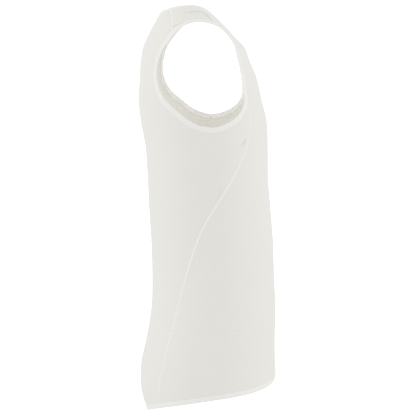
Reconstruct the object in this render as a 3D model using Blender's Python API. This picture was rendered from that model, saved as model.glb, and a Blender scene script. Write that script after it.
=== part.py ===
"""Sleeveless base layer top, in the hollow form that it takes when it is worn.

Units are metres. +Z is up, the front faces -Y and the wearer's left is +X. Z = 0 is the level of
the neck edge beside the neck, and X = 0 is the middle of the body, which the top mirrors about.

The cloth follows one smooth form, made of level sections. A point on it is a pair (angle, z): the
angle goes round from the front (0) over the wearer's left side to the back (pi), in radians. Every
seam and edge is a line of such pairs, and every piece is a wall between such lines.
"""

import math
from dataclasses import astuple, dataclass

import bpy
import numpy as np

PANEL_WALL = 0.0012
BINDING_WALL = 0.0020
BINDING_PROUD = 0.0004
BINDING_WIDTH = 0.0095
SEAM_GAP = 0.0003

NECK_HALF_WIDTH = 0.0875
NECK_FRONT_Y = -0.0625
NECK_SIDE_Y = 0.028
NECK_BACK_Y = 0.081

HEM_FRONT_Z = -0.6645
HEM_BACK_DROP = 0.0645
HEM_SWEEP = 2.8

SHOULDER_SEAM_START = 116.0
UNDERARM_LINE_BACK_Z = -0.245
UNDERARM_LINE_HEM_ANGLE = 145.0

WAIST_ROWS = 20
CHEST_ROWS = 4
STRAP_ROWS = 14
BACK_ROWS = 11
NAPE_ROWS = 5
PANEL_COLUMNS = 13
SIDE_COLUMNS = 5
BINDING_COLUMNS = 2

PANEL_COLOUR = (0.80, 0.79, 0.75)
BINDING_COLOUR = (0.83, 0.82, 0.79)


@dataclass(frozen=True)
class Section:
    """One level section: a superellipse with its own depth and squareness in front and behind."""

    z: float
    half_width: float
    front_y: float
    back_y: float
    side_y: float
    front_squareness: float
    back_squareness: float


SECTIONS = (
    Section(0.0060, 0.0600, 0.0120, 0.0560, 0.032, 2.00, 2.00),
    Section(0.0000, 0.0875, 0.0040, 0.0690, 0.030, 2.20, 2.00),
    Section(-0.0105, 0.1145, -0.0043, 0.0815, 0.024, 2.90, 2.00),
    Section(-0.0187, 0.1350, -0.0101, 0.0875, 0.020, 3.40, 2.00),
    Section(-0.0305, 0.1595, -0.0211, 0.0943, 0.015, 3.80, 2.00),
    Section(-0.0450, 0.1745, -0.0354, 0.1023, 0.009, 3.70, 2.02),
    Section(-0.0590, 0.1815, -0.0486, 0.1092, 0.006, 3.10, 2.10),
    Section(-0.0725, 0.1855, -0.0620, 0.1145, 0.006, 2.55, 2.22),
    Section(-0.0966, 0.1850, -0.0723, 0.1190, 0.006, 2.33, 2.35),
    Section(-0.1293, 0.1800, -0.0855, 0.1210, 0.006, 2.23, 2.40),
    Section(-0.1650, 0.1735, -0.0937, 0.1230, 0.006, 2.28, 2.40),
    Section(-0.2054, 0.1665, -0.1035, 0.1190, 0.005, 2.30, 2.38),
    Section(-0.2450, 0.1630, -0.1053, 0.1120, 0.002, 2.30, 2.35),
    Section(-0.3000, 0.1580, -0.1060, 0.1082, 0.000, 2.30, 2.30),
    Section(-0.3600, 0.1520, -0.1107, 0.1057, -0.003, 2.25, 2.25),
    Section(-0.4200, 0.1490, -0.1158, 0.1022, -0.006, 2.25, 2.25),
    Section(-0.4800, 0.1510, -0.1178, 0.1007, -0.008, 2.25, 2.25),
    Section(-0.5400, 0.1570, -0.1208, 0.1025, -0.008, 2.30, 2.30),
    Section(-0.6000, 0.1640, -0.1196, 0.1125, -0.004, 2.35, 2.35),
    Section(-0.6500, 0.1680, -0.1208, 0.1225, 0.000, 2.35, 2.35),
    Section(-0.6900, 0.1680, -0.1225, 0.1205, 0.000, 2.35, 2.35),
    Section(-0.7400, 0.1640, -0.1240, 0.1030, -0.002, 2.35, 2.35),
)


@dataclass(frozen=True)
class Knot:
    """A point of a seam or edge on the wearer's left side."""

    degrees: float
    z: float


# The open edge of the armhole: down from where the side seam meets it, under the arm, up the back.
ARMHOLE = (
    Knot(64.2, -0.1650),
    Knot(67.5, -0.1785),
    Knot(76.0, -0.1955),
    Knot(86.5, -0.2030),
    Knot(97.0, -0.1945),
    Knot(106.0, -0.1745),
    Knot(113.6, -0.1545),
    Knot(118.7, -0.1250),
    Knot(117.0, -0.0900),
    Knot(107.7, -0.0485),
    Knot(98.5, -0.0330),
    Knot(88.6, -0.0278),
    Knot(80.5, -0.0335),
    Knot(73.2, -0.0520),
    Knot(67.6, -0.0880),
    Knot(64.8, -0.1300),
)
UNDERARM_KNOT = 3
SHOULDER_SEAM_KNOT = 9

# The side seam below the armhole, down to the hem.
SIDE_SEAM = (
    Knot(58.6, -0.1930),
    Knot(60.6, -0.2190),
    Knot(67.6, -0.2590),
    Knot(79.3, -0.3118),
    Knot(95.6, -0.3815),
    Knot(107.6, -0.4620),
    Knot(115.4, -0.5383),
    Knot(119.6, -0.6020),
    Knot(121.8, -0.6550),
    Knot(123.2, -0.6900),
)


def hermite(knots: np.ndarray, values: np.ndarray, at: np.ndarray) -> np.ndarray:
    """Read smooth columns of values between rising knots."""
    spans = np.diff(knots)[:, None]
    rises = np.diff(values, axis=0) / spans
    inner = (rises[1:] * spans[:-1] + rises[:-1] * spans[1:]) / (spans[1:] + spans[:-1])
    slopes = np.vstack([rises[:1], inner, rises[-1:]])
    row = np.clip(np.searchsorted(knots, at) - 1, 0, len(knots) - 2)
    span = spans[row]
    t = (at - knots[row])[..., None] / span
    start = values[row] * (2 * t**3 - 3 * t**2 + 1) + slopes[row] * span * (t**3 - 2 * t**2 + t)
    end = values[row + 1] * (3 * t**2 - 2 * t**3) + slopes[row + 1] * span * (t**3 - t**2)
    return start + end


SECTION_TABLE = np.array([astuple(section) for section in reversed(SECTIONS)])


def section_at(z: np.ndarray) -> list[np.ndarray]:
    """Give half_width, front_y, back_y, side_y and both squareness values at some heights."""
    columns = hermite(SECTION_TABLE[:, 0], SECTION_TABLE[:, 1:], z)
    return [columns[..., k] for k in range(columns.shape[-1])]


def point(place: np.ndarray) -> np.ndarray:
    """Give the points of the form at (angle, z) pairs."""
    angle, z = place[..., 0], place[..., 1]
    half_width, front_y, back_y, side_y, front_power, back_power = section_at(z)
    ahead = np.cos(angle) > 0
    depth = np.where(ahead, side_y - front_y, back_y - side_y)
    power = np.where(ahead, front_power, back_power)
    across = np.abs(np.sin(angle) / half_width) ** power
    along = np.abs(np.cos(angle) / depth) ** power
    reach = (across + along) ** (-1 / power)
    return np.stack([reach * np.sin(angle), side_y - reach * np.cos(angle), z], axis=-1)


def slopes_at(place: np.ndarray, step: float = 1e-5) -> tuple[np.ndarray, np.ndarray]:
    """Give how a point moves with the angle and with z."""
    turn, climb = np.array([step, 0.0]), np.array([0.0, step])
    by_angle = (point(place + turn) - point(place - turn)) / (2 * step)
    by_z = (point(place + climb) - point(place - climb)) / (2 * step)
    return by_angle, by_z


def unit(vectors: np.ndarray) -> np.ndarray:
    """Scale vectors to length 1."""
    return vectors / np.linalg.norm(vectors, axis=-1, keepdims=True)


def normal(place: np.ndarray) -> np.ndarray:
    """Give the outward normals of the form."""
    return unit(np.cross(*slopes_at(place)))


def moved(place: np.ndarray, heading: np.ndarray, distance: float) -> np.ndarray:
    """Move points over the form by a distance along headings that lie in its surface."""
    goal = point(place) + heading * distance
    for _ in range(4):
        by_angle, by_z = slopes_at(place)
        left = goal - point(place)
        aa, az, zz = (np.sum(u * v, -1) for u, v in ((by_angle,) * 2, (by_angle, by_z), (by_z,) * 2))
        la, lz = np.sum(left * by_angle, -1), np.sum(left * by_z, -1)
        steps = np.stack([la * zz - lz * az, lz * aa - la * az], axis=-1)
        place = place + steps / (aa * zz - az * az)[..., None]
    return place


def beside(line: np.ndarray, distance: float, closed: bool = False) -> np.ndarray:
    """Give the line that runs on the left of a line, seen from outside, at a distance."""
    if closed:
        before, after = np.roll(line, 1, axis=0), np.roll(line, -1, axis=0)
    else:
        before, after = np.vstack([line[:1], line[:-1]]), np.vstack([line[1:], line[-1:]])
    along = unit(point(after) - point(before))
    return moved(line, unit(np.cross(normal(line), along)), distance)


def places(knots: tuple[Knot, ...]) -> np.ndarray:
    """Give the (angle, z) pairs of knots."""
    return np.array([(math.radians(knot.degrees), knot.z) for knot in knots])


def from_above(x: np.ndarray, y: np.ndarray) -> np.ndarray:
    """Find the (angle, z) pairs of points given as seen from above, on the shoulders."""
    low, high = np.full(x.shape, -0.15), np.full(x.shape, SECTIONS[0].z)
    for _ in range(40):
        z = (low + high) / 2
        side_y = section_at(z)[3]
        angle = np.arctan2(x, side_y - y)
        edge = point(np.stack([angle, z], axis=-1))
        outside = np.hypot(x, y - side_y) > np.hypot(edge[..., 0], edge[..., 1] - side_y)
        low, high = np.where(outside, low, z), np.where(outside, z, high)
    return np.stack([angle, z], axis=-1)


def walked(line: np.ndarray) -> np.ndarray:
    """Give the distance walked along a line at each of its points."""
    return np.append(0, np.cumsum(np.linalg.norm(np.diff(point(line), axis=0), axis=1)))


def resampled(line: np.ndarray, count: int) -> np.ndarray:
    """Space count + 1 points evenly along a line."""
    walk = walked(line)
    marks = np.linspace(0, walk[-1], count + 1)
    return np.stack([np.interp(marks, walk, line[:, k]) for k in range(2)], axis=-1)


def stretch(knots: np.ndarray, first: int, last: int, count: int) -> np.ndarray:
    """Space count + 1 points evenly on the smooth line through knots, between two of them."""
    walk = walked(knots)
    fine = np.linspace(walk[first], walk[last], 24 * (last - first) + 1)
    return resampled(hermite(walk, knots, fine), count)


def patch(bottom: np.ndarray, top: np.ndarray, left: np.ndarray, right: np.ndarray) -> np.ndarray:
    """Fill four edge lines with a grid of rows, in which the end rows' curves die out inwards."""
    s = np.linspace(0, 1, len(bottom))[None, :, None]
    t = np.linspace(0, 1, len(left))[:, None, None]
    rows = left[:, None] * (1 - s) + right[:, None] * s
    return rows + (1 - t) ** 3 * (bottom - rows[0]) + t**3 * (top - rows[-1])


def quads(grid: np.ndarray, rightwards: bool) -> tuple[np.ndarray, np.ndarray]:
    """Give a grid's points and its faces, whose columns run to the left or right from outside."""
    rows, columns = grid.shape[:2]
    index = np.arange(rows * columns).reshape(rows, columns)
    corners = [index[:-1, :-1], index[:-1, 1:], index[1:, 1:], index[1:, :-1]]
    faces = np.stack(corners if rightwards else corners[::-1], axis=-1).reshape(-1, 4)
    return grid.reshape(-1, 2), faces


def mirrored(piece: tuple[np.ndarray, np.ndarray]) -> tuple[np.ndarray, np.ndarray]:
    """Give the same grid on the wearer's other side."""
    spots, faces = piece
    return spots * [-1, 1], faces[:, ::-1]


def wall(name: str, pieces: list, proud: float, thickness: float, colour: tuple) -> None:
    """Make one closed wall of cloth from grids that share their edge points.

    Args:
        name: the name of the object.
        pieces: grids as ((angle, z) pairs, faces).
        proud: how far the outer face stands above the form.
        thickness: from the outer face to the inner one, along the normals.
        colour: linear colour of the cloth.
    """
    starts = np.cumsum([0] + [len(spots) for spots, _ in pieces])
    spots = np.vstack([spots for spots, _ in pieces])
    faces = np.vstack([faces + start for (_, faces), start in zip(pieces, starts)])
    rounded = point(spots).round(7) + 0.0
    _, first, weld = np.unique(rounded, axis=0, return_index=True, return_inverse=True)
    spots, faces = spots[first], weld.reshape(-1)[faces]

    base, out = point(spots), normal(spots)
    middle = np.abs(base[:, 0]) < 1e-6
    base[middle, 0] = out[middle, 0] = 0
    outer, inner = base + out * proud, base + out * (proud - thickness)
    count = len(spots)
    sides = [(a, b) for face in faces.tolist() for a, b in zip(face, face[1:] + face[:1])]
    shared = set(sides)
    rims = [(b, a, a + count, b + count) for a, b in sides if (b, a) not in shared]
    lining = (faces[:, ::-1] + count).tolist()

    mesh = bpy.data.meshes.new(name)
    mesh.from_pydata(np.vstack([outer, inner]).tolist(), [], faces.tolist() + lining + rims)
    mesh.shade_smooth()
    mesh.set_sharp_from_angle(angle=math.radians(50))
    material = bpy.data.materials.new(name)
    material.use_nodes = True
    shader = material.node_tree.nodes["Principled BSDF"]
    shader.inputs["Base Color"].default_value = (*colour, 1)
    shader.inputs["Roughness"].default_value = 0.85
    mesh.materials.append(material)
    bpy.context.scene.collection.objects.link(bpy.data.objects.new(name, mesh))


class Lines:
    """The seams and edges on the wearer's left, which neighbouring pieces share."""

    def __init__(self) -> None:
        """Work out each line once, at the points where the pieces have theirs."""
        self.find_armhole()
        self.find_neck()
        self.find_shoulder_seam()
        self.find_side_seam()

    def find_armhole(self) -> None:
        """Go round the open edge of the armhole, and give each panel its share beside the binding."""
        wraps = 2
        knots = places(ARMHOLE[-wraps:] + ARMHOLE + ARMHOLE[: wraps + 1])
        start, underarm = wraps, wraps + UNDERARM_KNOT
        shoulder, end = wraps + SHOULDER_SEAM_KNOT, wraps + len(ARMHOLE)
        below = stretch(knots, start, underarm, SIDE_COLUMNS)
        behind = stretch(knots, underarm, shoulder, BACK_ROWS + NAPE_ROWS)
        over = stretch(knots, shoulder, end, STRAP_ROWS + CHEST_ROWS)
        self.armhole = np.vstack([below, behind[1:], over[1:-1]])
        edge = beside(self.armhole, -BINDING_WIDTH - SEAM_GAP, closed=True)
        at_shoulder = SIDE_COLUMNS + BACK_ROWS + NAPE_ROWS
        self.panel_below = edge[: SIDE_COLUMNS + 1]
        self.panel_behind = edge[SIDE_COLUMNS : at_shoulder + 1]
        self.panel_over = np.vstack([edge[at_shoulder:], edge[:1]])

    def find_neck(self) -> None:
        """Go round the open edge of the neck, an oval from above, from front to back."""
        turn = np.linspace(0, math.pi, 97)
        ahead, behind = NECK_SIDE_Y - NECK_FRONT_Y, NECK_BACK_Y - NECK_SIDE_Y
        depth = np.where(np.cos(turn) > 0, ahead, behind)
        oval = from_above(NECK_HALF_WIDTH * np.sin(turn), NECK_SIDE_Y - depth * np.cos(turn))
        split = int(np.searchsorted(oval[:, 0], math.radians(SHOULDER_SEAM_START)))
        strap, nape = resampled(oval[: split + 1], STRAP_ROWS), resampled(oval[split:], NAPE_ROWS)
        self.neck = np.vstack([strap, nape[1:]])
        edge = self.outside_neck(BINDING_WIDTH + SEAM_GAP)
        self.panel_neck = edge[: STRAP_ROWS + 1]
        self.panel_nape = edge[STRAP_ROWS:]

    def outside_neck(self, distance: float) -> np.ndarray:
        """Give the line at a distance outside the neck edge, with its ends kept on the middle."""
        line = beside(self.neck, -distance)
        line[0, 0], line[-1, 0] = 0, math.pi
        return line

    def find_shoulder_seam(self) -> None:
        """Run the shoulder seam, straight from above, from the neck to the armhole."""
        start, end = self.panel_neck[-1], self.panel_over[0]
        share = np.linspace(0, 1, 97)[:, None]
        straight = point(start) * (1 - share) + point(end) * share
        seam = from_above(straight[:, 0], straight[:, 1])
        seam[0], seam[-1] = start, end
        self.shoulder = resampled(seam, PANEL_COLUMNS)

    def find_side_seam(self) -> None:
        """Run the side seam up from the panels' lower edge to the armhole."""
        knots = np.vstack([self.panel_over[-1:], places(SIDE_SEAM)])
        knots[-1, 1] = hem_z(knots[-1, 0]) + BINDING_WIDTH + SEAM_GAP
        self.side_seam = stretch(knots, 0, len(SIDE_SEAM), WAIST_ROWS)[::-1]


def hem_z(angle: np.ndarray) -> np.ndarray:
    """Give the height of the hem's open edge at an angle."""
    return HEM_FRONT_Z - HEM_BACK_DROP * ((1 - np.cos(angle)) / 2) ** HEM_SWEEP


def panel_foot(angles: np.ndarray) -> np.ndarray:
    """Give the panels' lower edge, just above the hem band, at some angles."""
    return np.stack([angles, hem_z(angles) + BINDING_WIDTH + SEAM_GAP], axis=-1)


def up_middle(angle: float, low: float, high: float, count: int) -> np.ndarray:
    """Space count + 1 points up the middle of the front or the back."""
    return np.stack([np.full(count + 1, angle), np.linspace(low, high, count + 1)], axis=-1)


def across(start: np.ndarray, end: np.ndarray) -> np.ndarray:
    """Space a panel's columns evenly from one (angle, z) pair to another."""
    share = np.linspace(0, 1, PANEL_COLUMNS + 1)[:, None]
    return start * (1 - share) + end * share


def front_panel(lines: Lines) -> None:
    """The front: up from the hem and over the shoulders to the seams behind them."""
    side = beside(lines.side_seam, SEAM_GAP / 2)
    bottom = panel_foot(np.linspace(0, side[0, 0], PANEL_COLUMNS + 1))
    side[0] = bottom[-1]
    middle = up_middle(0, bottom[0, 1], lines.panel_neck[0, 1], WAIST_ROWS + CHEST_ROWS)
    armhole = lines.panel_over[::-1]
    chest_side = np.vstack([side, armhole[1 : CHEST_ROWS + 1]])
    chest_line = across(middle[-1], chest_side[-1])
    chest = quads(patch(bottom, chest_line, middle, chest_side), True)

    shoulder = beside(lines.shoulder, -SEAM_GAP / 2)
    left = np.vstack([lines.panel_neck[:-1], shoulder[:1]])
    right = np.vstack([armhole[CHEST_ROWS:-1], shoulder[-1:]])
    strap = quads(patch(chest_line, shoulder, left, right), True)
    halves = [chest, strap, mirrored(chest), mirrored(strap)]
    wall("front_panel", halves, 0, PANEL_WALL, PANEL_COLOUR)


def back_panel(lines: Lines) -> None:
    """The back: up from the hem to the shoulder seams, and round under the arms to the front."""
    side = beside(lines.side_seam, -SEAM_GAP / 2)
    turn = math.radians(UNDERARM_LINE_HEM_ANGLE)
    behind = np.linspace(math.pi, turn, PANEL_COLUMNS + 1)
    below_arm = np.linspace(turn, side[0, 0], SIDE_COLUMNS + 1)
    bottom = panel_foot(np.append(behind, below_arm[1:]))
    side[0] = bottom[-1]
    middle = up_middle(math.pi, bottom[0, 1], UNDERARM_LINE_BACK_Z, WAIST_ROWS)
    underarm_line = across(middle[-1], lines.panel_behind[0])
    top = np.vstack([underarm_line, lines.panel_below[-2:0:-1], side[-1:]])
    lower = quads(patch(bottom, top, middle, side), False)

    shoulder = beside(lines.shoulder, SEAM_GAP / 2)
    middle = up_middle(math.pi, UNDERARM_LINE_BACK_Z, lines.panel_nape[-1, 1], BACK_ROWS)
    left = np.vstack([middle, lines.panel_nape[-2:0:-1], shoulder[:1]])
    right = np.vstack([lines.panel_behind[:-1], shoulder[-1:]])
    upper = quads(patch(underarm_line, shoulder, left, right), False)
    halves = [lower, upper, mirrored(lower), mirrored(upper)]
    wall("back_panel", halves, 0, PANEL_WALL, PANEL_COLOUR)


def binding(name: str, strips: list) -> None:
    """Make a folded strip, thicker than the panels, from grids that run along it."""
    wall(name, strips, BINDING_PROUD, BINDING_WALL, BINDING_COLOUR)


def armhole_bindings(lines: Lines) -> None:
    """The folded strips round both armholes."""
    across = np.linspace(0, -BINDING_WIDTH, BINDING_COLUMNS + 1)
    ring = np.stack([beside(lines.armhole, d, closed=True) for d in across], axis=1)
    strip = quads(np.vstack([ring, ring[:1]]), True)
    binding("armhole_binding_left", [strip])
    binding("armhole_binding_right", [mirrored(strip)])


def neck_binding(lines: Lines) -> None:
    """The folded strip round the neck."""
    across = np.linspace(0, BINDING_WIDTH, BINDING_COLUMNS + 1)
    half = quads(np.stack([lines.outside_neck(d) for d in across], axis=1), True)
    binding("neck_binding", [half, mirrored(half)])


def hem_band(lines: Lines) -> None:
    """The smooth band round the hem, lower at the back."""
    foot, turn = lines.side_seam[0, 0], math.radians(UNDERARM_LINE_HEM_ANGLE)
    ahead = np.linspace(0, foot, PANEL_COLUMNS + 1)
    below_arm = np.linspace(foot, turn, SIDE_COLUMNS + 1)
    behind = np.linspace(turn, math.pi, PANEL_COLUMNS + 1)
    angles = np.concatenate([ahead, below_arm[1:], behind[1:]])
    down = np.linspace(BINDING_WIDTH, 0, BINDING_COLUMNS + 1)
    rows = [np.stack([angles, hem_z(angles) + d], axis=-1) for d in down]
    half = quads(np.stack(rows, axis=1), True)
    binding("hem_band", [half, mirrored(half)])


def main() -> None:
    """Remove what is there and make every piece."""
    for item in list(bpy.data.objects):
        bpy.data.objects.remove(item)
    lines = Lines()
    front_panel(lines)
    back_panel(lines)
    armhole_bindings(lines)
    neck_binding(lines)
    hem_band(lines)


main()
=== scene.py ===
"""Dresses the sleeveless base layer top: knitted panels, bound edges and flat seams.

Units are metres. +Z is up, the front faces -Y and the wearer's left is +X. The cloth follows one
smooth form made of level sections. A place on it is a pair (angle, z): the angle goes round from
the front (0) over the wearer's left side (positive) or right side (negative) to the back (pi), in
radians. Every seam and edge is a line of places, and every sheet is a closed thin shell on them.
"""

import logging
import math
from dataclasses import astuple, dataclass
from enum import Enum

import bpy
import numpy as np
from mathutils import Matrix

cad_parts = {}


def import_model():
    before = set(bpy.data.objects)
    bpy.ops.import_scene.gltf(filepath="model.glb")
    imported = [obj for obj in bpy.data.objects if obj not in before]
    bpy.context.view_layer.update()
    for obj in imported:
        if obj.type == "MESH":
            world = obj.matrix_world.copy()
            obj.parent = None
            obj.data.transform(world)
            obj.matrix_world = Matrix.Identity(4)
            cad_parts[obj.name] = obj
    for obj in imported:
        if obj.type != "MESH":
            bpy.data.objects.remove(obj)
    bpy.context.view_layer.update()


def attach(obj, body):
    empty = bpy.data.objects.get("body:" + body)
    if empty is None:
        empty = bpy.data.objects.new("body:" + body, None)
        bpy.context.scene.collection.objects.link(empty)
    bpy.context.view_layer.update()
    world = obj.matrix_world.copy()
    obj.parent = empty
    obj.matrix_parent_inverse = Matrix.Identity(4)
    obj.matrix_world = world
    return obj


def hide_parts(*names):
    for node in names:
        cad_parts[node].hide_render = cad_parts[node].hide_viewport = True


Array = np.ndarray
Material = bpy.types.Material
Thing = bpy.types.Object
# A mesh in numbers: its points, its four-cornered faces, and flat coordinates for their corners.
Mesh = tuple[Array, Array, Array]
# Points of a line on the form, as degrees and z.
Knots = tuple[tuple[float, float], ...]
# Red, green and blue, linear.
Colour = tuple[float, float, float]

LOG = logging.getLogger("top")
# Points of neighbouring patches that agree to this many decimals of a metre are one point.
WELD_DECIMALS = 7
# A point nearer than this to the middle lies on it.
MIDDLE_REACH = 1e-6


class Side(Enum):
    """Which side of the wearer a piece lies on."""

    LEFT = "left"
    RIGHT = "right"


class Face(Enum):
    """Which side of the cloth a seam's band lies on."""

    OUTSIDE = "outside"
    INSIDE = "inside"


class LampKind(Enum):
    """The kinds of lamp, by the renderer's names."""

    SOFT = "AREA"
    GLOW = "POINT"


# ---------------------------------------------------------------- the form


@dataclass(frozen=True)
class Section:
    """One level section: a superellipse with its own depth and squareness in front and behind."""

    z: float
    half_width: float
    front_y: float
    back_y: float
    side_y: float
    front_squareness: float
    back_squareness: float


SECTIONS = (
    Section(0.0060, 0.0600, 0.0120, 0.0560, 0.032, 2.00, 2.00),
    Section(0.0000, 0.0875, 0.0040, 0.0690, 0.030, 2.20, 2.00),
    Section(-0.0105, 0.1145, -0.0043, 0.0815, 0.024, 2.90, 2.00),
    Section(-0.0187, 0.1350, -0.0101, 0.0875, 0.020, 3.40, 2.00),
    Section(-0.0305, 0.1595, -0.0211, 0.0943, 0.015, 3.80, 2.00),
    Section(-0.0450, 0.1745, -0.0354, 0.1023, 0.009, 3.70, 2.02),
    Section(-0.0590, 0.1815, -0.0486, 0.1092, 0.006, 3.10, 2.10),
    Section(-0.0725, 0.1855, -0.0620, 0.1145, 0.006, 2.55, 2.22),
    Section(-0.0966, 0.1850, -0.0723, 0.1190, 0.006, 2.33, 2.35),
    Section(-0.1293, 0.1800, -0.0855, 0.1210, 0.006, 2.23, 2.40),
    Section(-0.1650, 0.1735, -0.0937, 0.1230, 0.006, 2.28, 2.40),
    Section(-0.2054, 0.1665, -0.1035, 0.1190, 0.005, 2.30, 2.38),
    Section(-0.2450, 0.1630, -0.1053, 0.1120, 0.002, 2.30, 2.35),
    Section(-0.3000, 0.1580, -0.1060, 0.1082, 0.000, 2.30, 2.30),
    Section(-0.3600, 0.1520, -0.1107, 0.1057, -0.003, 2.25, 2.25),
    Section(-0.4200, 0.1490, -0.1158, 0.1022, -0.006, 2.25, 2.25),
    Section(-0.4800, 0.1510, -0.1178, 0.1007, -0.008, 2.25, 2.25),
    Section(-0.5400, 0.1570, -0.1208, 0.1025, -0.008, 2.30, 2.30),
    Section(-0.6000, 0.1640, -0.1196, 0.1125, -0.004, 2.35, 2.35),
    Section(-0.6500, 0.1680, -0.1208, 0.1225, 0.000, 2.35, 2.35),
    Section(-0.6900, 0.1680, -0.1225, 0.1205, 0.000, 2.35, 2.35),
    Section(-0.7400, 0.1640, -0.1240, 0.1030, -0.002, 2.35, 2.35),
)


def unit(vectors: Array) -> Array:
    """Scale vectors to length 1."""
    return vectors / np.linalg.norm(vectors, axis=-1, keepdims=True)


def hermite(knots: Array, values: Array, at: Array) -> Array:
    """Read smooth columns of values between rising knots.

    Each span is a cubic Hermite curve, whose slope at a knot is the mean of the slopes of the
    spans on both sides, each weighted by the length of the other.

    Args:
        knots: rising positions.
        values: one row of values for each knot.
        at: where to read.

    Returns:
        One row of values for each place in at.
    """
    spans = np.diff(knots)[:, None]
    rises = np.diff(values, axis=0) / spans
    inner = (rises[1:] * spans[:-1] + rises[:-1] * spans[1:]) / (spans[1:] + spans[:-1])
    slopes = np.vstack([rises[:1], inner, rises[-1:]])
    row = np.clip(np.searchsorted(knots, at) - 1, 0, len(knots) - 2)
    span = spans[row]
    t = (at - knots[row])[..., None] / span
    start = values[row] * (2 * t**3 - 3 * t**2 + 1) + slopes[row] * span * (t**3 - 2 * t**2 + t)
    end = values[row + 1] * (3 * t**2 - 2 * t**3) + slopes[row + 1] * span * (t**3 - t**2)
    return start + end


@dataclass
class BodyForm:
    """The smooth closed form that the worn cloth lies on."""

    sections: tuple[Section, ...] = SECTIONS
    slope_step: float = 1e-5
    shoulder_floor: float = -0.15
    halvings: int = 40
    newton_steps: int = 4
    steps_per_span: int = 60

    def __post_init__(self) -> None:
        """Keep the sections as a rising table."""
        self.table = np.array([astuple(section) for section in reversed(self.sections)])

    def section_at(self, z: Array) -> list[Array]:
        """Give half_width, front_y, back_y, side_y and both squareness values at heights."""
        columns = hermite(self.table[:, 0], self.table[:, 1:], z)
        return [columns[..., k] for k in range(columns.shape[-1])]

    def point(self, place: Array) -> Array:
        """Give the points of the form at places.

        A level section is a superellipse about (0, side_y): its reach in a direction is
        (|sin / half_width|^p + |cos / depth|^p)^(-1/p), with its own depth and p in front and
        behind.

        Args:
            place: (angle, z) pairs.

        Returns:
            Their points in space.
        """
        angle, z = place[..., 0], place[..., 1]
        half_width, front_y, back_y, side_y, front_power, back_power = self.section_at(z)
        ahead = np.cos(angle) > 0
        depth = np.where(ahead, side_y - front_y, back_y - side_y)
        power = np.where(ahead, front_power, back_power)
        across = np.abs(np.sin(angle) / half_width) ** power
        along = np.abs(np.cos(angle) / depth) ** power
        reach = (across + along) ** (-1 / power)
        return np.stack([reach * np.sin(angle), side_y - reach * np.cos(angle), z], axis=-1)

    def slopes(self, place: Array) -> tuple[Array, Array]:
        """Give how a point moves with the angle and with z, by central differences.

        Args:
            place: (angle, z) pairs.

        Returns:
            The move for each radian of angle, and for each metre of z.
        """
        step = self.slope_step
        turn, climb = np.array([step, 0.0]), np.array([0.0, step])
        by_angle = (self.point(place + turn) - self.point(place - turn)) / (2 * step)
        by_z = (self.point(place + climb) - self.point(place - climb)) / (2 * step)
        return by_angle, by_z

    def normal(self, place: Array) -> Array:
        """Give the outward normals of the form, the cross product of its two slopes."""
        return unit(np.cross(*self.slopes(place)))

    def lifted(self, place: Array, level: Array) -> Array:
        """Give the points that stand at levels over the form, along its normals."""
        return self.point(place) + self.normal(place) * level[..., None]

    def moved(self, place: Array, heading: Array, distance: float) -> Array:
        """Move places over the form by a distance along headings that lie in its surface.

        Newton steps bring the place to the foot of the goal: each solves the two by two system
        of the slopes' dot products for the steps of angle and z.

        Args:
            place: (angle, z) pairs.
            heading: unit vectors in the surface.
            distance: how far to go.

        Returns:
            The new places.
        """
        goal = self.point(place) + heading * distance
        for _ in range(self.newton_steps):
            by_angle, by_z = self.slopes(place)
            left = goal - self.point(place)
            pairs = ((by_angle, by_angle), (by_angle, by_z), (by_z, by_z))
            aa, az, zz = (np.sum(u * v, -1) for u, v in pairs)
            la, lz = np.sum(left * by_angle, -1), np.sum(left * by_z, -1)
            steps = np.stack([la * zz - lz * az, lz * aa - la * az], axis=-1)
            place = place + steps / (aa * zz - az * az)[..., None]
        return place

    def beside(self, line: Array, distance: float, closed: bool = False) -> Array:
        """Give the line on the left of a line, seen from outside, at a distance.

        Args:
            line: places along the line.
            distance: how far to the left, or to the right if negative.
            closed: whether the last place meets the first.

        Returns:
            The places beside it.
        """
        if closed:
            before, after = np.roll(line, 1, axis=0), np.roll(line, -1, axis=0)
        else:
            before, after = np.vstack([line[:1], line[:-1]]), np.vstack([line[1:], line[-1:]])
        along = unit(self.point(after) - self.point(before))
        return self.moved(line, unit(np.cross(self.normal(line), along)), distance)

    def from_above(self, x: Array, y: Array) -> Array:
        """Find the places on the shoulders below points seen from above, by halving z's range.

        Args:
            x: the points' x.
            y: the points' y.

        Returns:
            The places.
        """
        low, high = np.full(x.shape, self.shoulder_floor), np.full(x.shape, self.sections[0].z)
        for _ in range(self.halvings):
            z = (low + high) / 2
            side_y = self.section_at(z)[3]
            angle = np.arctan2(x, side_y - y)
            edge = self.point(np.stack([angle, z], axis=-1))
            outside = np.hypot(x, y - side_y) > np.hypot(edge[..., 0], edge[..., 1] - side_y)
            low, high = np.where(outside, low, z), np.where(outside, z, high)
        return np.stack([angle, z], axis=-1)

    def walked(self, line: Array) -> Array:
        """Give the distance walked along a line at each of its places."""
        steps = np.linalg.norm(np.diff(self.point(line), axis=0), axis=1)
        return np.append(0, np.cumsum(steps))

    def at(self, line: Array, marks: Array) -> Array:
        """Give the places at distances along a line."""
        walk = self.walked(line)
        return np.stack([np.interp(marks, walk, line[:, k]) for k in range(2)], axis=-1)

    def shared_out(self, line: Array, shares: Array) -> Array:
        """Give the places at shares of a line's length, from 0 to 1."""
        return self.at(line, shares * self.walked(line)[-1])

    def resampled(self, line: Array, count: int) -> Array:
        """Space count + 1 places evenly along a line."""
        return self.shared_out(line, np.linspace(0, 1, count + 1))

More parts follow.
